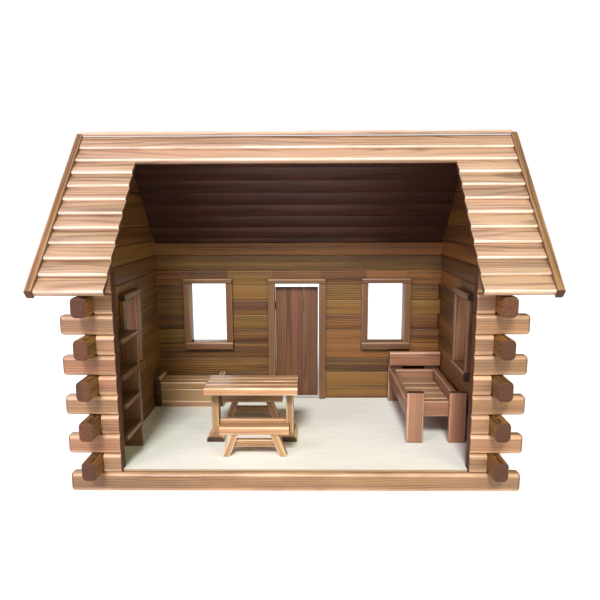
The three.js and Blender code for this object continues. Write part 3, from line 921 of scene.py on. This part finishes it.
def hinge(which):
    """Small butt hinge: pressed plates with countersunk screws, rolled knuckles, a pin."""
    axis = Vector(JOINT["door_swing"]["pos_m"])
    centre = (axis.x, axis.y, 0)
    middle = size(f"door_hinge_{which}_moving")[2][1] + 0.2 * MM
    plate = (BACK[1][1] + GAP, BACK[1][1] + GAP + 1.2 * MM)
    clear, knuckle, chamfer, pin = 1.0 * MM, 2.25 * MM, 0.3 * MM, 1.2 * MM
    for part, body in (("fixed", "house"), ("moving", "door")):
        x, y, (bottom, top) = size(f"door_hinge_{which}_{part}")
        fixed = part == "fixed"
        span = (x[0], axis.x - clear) if fixed else (axis.x + clear, x[1])
        low, high = (middle, top) if fixed else (bottom, top)
        bars = Bars()
        bars.bar(X, Z, Y, span, (low, high), plate, (0.9,) * 4, (0.2, 0.3))
        lathe(bars, Z, centre, [(knuckle - chamfer, low), (knuckle, low + chamfer),
                                (knuckle, high - chamfer), (knuckle - chamfer, high)])
        if fixed:
            lathe(bars, Z, centre, [(pin, bottom + 0.1 * MM), (pin, middle)])
        for dx in (-3.6 * MM, 3.6 * MM):
            screw(bars, (sum(span) / 2 + dx, plate[1], (low + high) / 2))
        node = f"door_hinge_{which}_{part}"
        bars.build(f"hinge_{which}_{part}_half", body, [node], [BRASS])


door()


# ---------------------------------------------------------------- furniture

def plank(name, body, node, along, radius, end=0.8, count=1, material=FURNITURE, gap=0.12):
    """One CAD board as rounded boards side by side, count of them across its width. radius
    and end are its rounding, and gap the room beside a joint, in mm."""
    sizes = dict(zip("xyz", size(node)))
    axes = {"x": X, "y": Y, "z": Z}
    others = [k for k in "xyz" if k != along]
    wide = max(others, key=lambda k: sizes[k][1] - sizes[k][0])
    thin = [k for k in others if k != wide][0]
    lo, hi = sizes[wide]
    w = (hi - lo) / count
    bars = Bars()
    for i in range(count):
        low = lo + i * w + (gap * MM if i else 0)
        high = lo + (i + 1) * w - (gap * MM if i < count - 1 else 0)
        bars.bar(axes[wide], axes[thin], axes[along], (low, high), sizes[thin], sizes[along],
                 (radius,) * 4, (end, end))
    return bars.build(name, body, [node], [material])


def shelf():
    plank("shelf_upright", "house", "shelf_panel", "z", 0.8, material=TRIM)
    plank("shelf_lid_board", "house", "shelf_top", "y", 1.2, material=TRIM)
    for i in (1, 2, 3):
        plank(f"shelf_tray_{i}", "house", f"shelf_board_{i}", "y", 1.0, material=TRIM)


def chest():
    """Two small logs for each end, a front of two boards, and a lid of three on nails."""
    body = "chest"
    for side in ("left", "right"):
        x, y, z = size(f"chest_end_{side}")
        half = (z[1] - z[0]) / 2
        bars = Bars()
        for i in (0, 1):
            height = (z[0] + i * half + 0.1 * MM * i, z[0] + (i + 1) * half)
            bars.bar(X, Z, Y, x, height, y, (3.6,) * 4, (3.2, 3.2))
        bars.build(f"chest_cheek_{side}", body, [f"chest_end_{side}"], [FURNITURE])
    x, y, z = size("chest_front")
    low_board, joint = 10.2 * MM, 0.2 * MM
    bars = Bars()
    bars.bar(Z, Y, X, (z[0], z[0] + low_board), y, x, (2.0,) * 4)
    bars.bar(Z, Y, X, (z[0] + low_board + joint, z[1]), y, x, (2.2,) * 4)
    bars.build("chest_front_boards", body, ["chest_front"], [FURNITURE])
    plank("chest_back_board", body, "chest_back", "x", 1.5)
    plank("chest_floor_board", body, "chest_bottom", "x", 0.8)
    plank("chest_lid_boards", "chest_lid", "chest_lid", "x", 2.6, count=3)
    for side in ("left", "right"):
        chest_nail(side)


def chest_nail(side):
    """A nail that the lid turns on; only the right one shows its head."""
    pin = Vector(JOINT["lid_swing"]["pos_m"])
    centre = (0, pin.y, pin.z)
    tip, back = size(f"chest_pin_{side}")[0]
    r = 1.15 * MM
    bars = Bars()
    shank = [(r * 0.6, tip), (r, tip + 0.4 * MM), (r, back - 0.3 * MM), (r * 0.8, back)]
    lathe(bars, X, centre, shank, 20)
    if side == "right":
        start = back - 0.8 * MM
        head = [(2.2 * MM, start), (2.3 * MM, start + 0.25 * MM), (1.3 * MM, back)]
        lathe(bars, X, centre, head, 24)
    bars.build(f"chest_nail_{side}", "chest", [f"chest_pin_{side}"], [STEEL])


def table():
    """Four boards on two trestles: an upright board on a foot with rounded top edges."""
    body = "table"
    plank("table_boards", body, "table_top", "x", 3.4, 1.6, count=4)
    plank("table_rail", body, "table_stretcher", "x", 1.8)
    top_x, top_y, _ = size("table_top")
    mid_x, mid_y = sum(top_x) / 2, sum(top_y) / 2
    leg_at, leg_half_t, leg_half_w = 54 * MM, 5.25 * MM, 12 * MM
    foot_h, let_in = 8.5 * MM, 1 * MM
    for side, sign in (("left", -1), ("right", 1)):
        node = f"table_trestle_{side}"
        x, y, z = size(node)
        leg_x = mid_x + sign * leg_at
        thick = (leg_x - leg_half_t, leg_x + leg_half_t)
        wide = (mid_y - leg_half_w, mid_y + leg_half_w)
        bars = Bars()
        bars.bar(X, Y, Z, thick, wide, (z[0] + foot_h - let_in, z[1]), (2.2,) * 4, (0, 0.4))
        bars.bar(X, Z, Y, x, (z[0], z[0] + foot_h), y, (0.8, 0.8, 5.2, 5.2), (2.5, 2.5))
        bars.build(f"table_leg_{side}", body, [node], [FURNITURE])


def bench(which):
    """A seat board on two legs that lean in, with a low rail between them."""
    body = f"bench_{which}"
    plank(f"bench_{which}_plank", body, f"bench_{which}_seat", "x", 3.0, 1.6)
    node = f"bench_{which}_frame"
    x, y, z = size(node)
    mid = sum(x) / 2
    height = z[1] - z[0]
    foot_at, lean, leg_half_w = 38.5 * MM, 11.7 * MM, 5.3 * MM
    bars = Bars()
    for sign in (-1, 1):
        foot = Vector((mid + sign * foot_at, 0, z[0]))
        begin = len(bars.points)
        bars.bar(X, Y, Z, (-leg_half_w, leg_half_w), y, (0, height), (2.2,) * 4, (0.4, 0.4),
                 origin=foot)
        for point in bars.points[begin:]:
            point.x -= sign * lean * (point.z - z[0]) / height
    seat_y = size(f"bench_{which}_seat")[1]
    rail_y = (seat_y[0] + 7 * MM, seat_y[0] + 16 * MM)
    rail_z = (40.5 * MM, 50.8 * MM)
    rail_x = (mid - 31 * MM, mid + 31 * MM)
    bars.bar(Y, Z, X, rail_y, rail_z, rail_x, (1.8,) * 4, (0.3, 0.3))
    return bars.build(f"bench_{which}_legs", body, [node], [FURNITURE])


def bed():
    """Four square posts, side boards, a slab at the head and six slats."""
    body = "bed"
    for end in ("foot", "head"):
        for side in ("left", "right"):
            plank(f"bed_{end}_leg_{side}", body, f"bed_{end}_post_{side}", "z", 3.2, 1.2, material=BED)
    for side in ("left", "right"):
        plank(f"bed_side_board_{side}", body, f"bed_rail_{side}", "y", 2.4, 0.6, material=BED)
    plank("bed_foot_board", body, "bed_foot_rail", "x", 1.8, 0.3, material=BED)
    plank("bed_head_board_low", body, "bed_head_rail", "x", 1.8, 0.3, material=BED)
    plank("bed_head_board", body, "bed_head_slab", "x", 3.6, 1.8, material=BED)
    plank("bed_slats", body, "bed_deck", "x", 1.8, 0.3, count=6, gap=0.3)


shelf()
chest()
table()
bench("front")
bench("rear")
bed()


# ---------------------------------------------------------------- stage, light, camera

def stage():
    """A plain pale floor, lifted a little so that it meets the white behind it."""
    r = 6.0
    mesh = bpy.data.meshes.new("ground")
    mesh.from_pydata([(-r, -r, 0), (r, -r, 0), (r, r, 0), (-r, r, 0)], [], [(0, 1, 2, 3)])
    ground = bpy.data.objects.new("ground", mesh)
    bpy.context.scene.collection.objects.link(ground)
    n = Nodes("pale_floor")
    n.bsdf.inputs["Base Color"].default_value = (0.93, 0.93, 0.93, 1)
    n.bsdf.inputs["Roughness"].default_value = 0.9
    n.bsdf.inputs["Specular IOR Level"].default_value = 0.1
    n.bsdf.inputs["Emission Color"].default_value = (1, 1, 1, 1)
    n.bsdf.inputs["Emission Strength"].default_value = 0.26
    mesh.materials.append(n.material)


def lamp(name, kind, power, colour, direction, at=(0, 0, 0)):
    light = bpy.data.lights.new(name, kind)
    light.energy = power
    light.color = colour
    o = bpy.data.objects.new(name, light)
    o.location = at
    o.rotation_euler = direction.to_track_quat("-Z", "Y").to_euler()
    bpy.context.scene.collection.objects.link(o)
    return light


def area(name, at, to, side, power, colour=(1, 1, 1)):
    light = lamp(name, "AREA", power, colour, Vector(to) - Vector(at), at)
    light.shape = "RECTANGLE"
    light.size = light.size_y = side


def sun(name, direction, power, softness):
    light = lamp(name, "SUN", power, (1, 1, 1), Vector(direction))
    light.angle = math.radians(softness)


def world(fill, seen_white):
    """White to look at, and a weaker even fill to light with."""
    w = bpy.data.worlds.new("studio")
    w.use_nodes = True
    tree = w.node_tree
    back = tree.nodes["Background"]
    seen = tree.nodes.new("ShaderNodeBackground")
    for node, strength in ((back, fill), (seen, seen_white)):
        node.inputs[0].default_value = (1, 1, 1, 1)
        node.inputs[1].default_value = strength
    path = tree.nodes.new("ShaderNodeLightPath")
    mix = tree.nodes.new("ShaderNodeMixShader")
    tree.links.new(path.outputs["Is Camera Ray"], mix.inputs[0])
    tree.links.new(back.outputs[0], mix.inputs[1])
    tree.links.new(seen.outputs[0], mix.inputs[2])
    tree.links.new(mix.outputs[0], tree.nodes["World Output"].inputs[0])
    bpy.context.scene.world = w


def camera():
    """In front of the open side, a little right of the middle, looking slightly down."""
    cam = bpy.data.cameras.new("camera")
    cam.sensor_width = 36
    cam.lens = 39.47
    cam.shift_y = 0.075
    o = bpy.data.objects.new("camera", cam)
    o.location = (18.9 * MM, -965.5 * MM, 348.7 * MM)
    o.rotation_euler = (math.radians(90 - 11.3), math.radians(0.2), math.radians(0.8))
    bpy.context.scene.collection.objects.link(o)
    bpy.context.scene.camera = o


stage()
world(0.13, 1.05)
sun("key", (0.10, 1, -0.80), 3.6, 14)
area("left_front", (-1.1, -1.3, 0.9), (-0.2, 0, 0.2), 0.8, 15, (1, 0.76, 0.95))
area("right_front", (1.1, -1.3, 0.9), (0.2, 0, 0.2), 0.8, 12, (1, 0.90, 0.58))
area("back_soft", (-0.9, 1.9, 1.2), (0, 0, 0.25), 1.4, 16)
camera()
bpy.context.scene.view_settings.view_transform = "Standard"
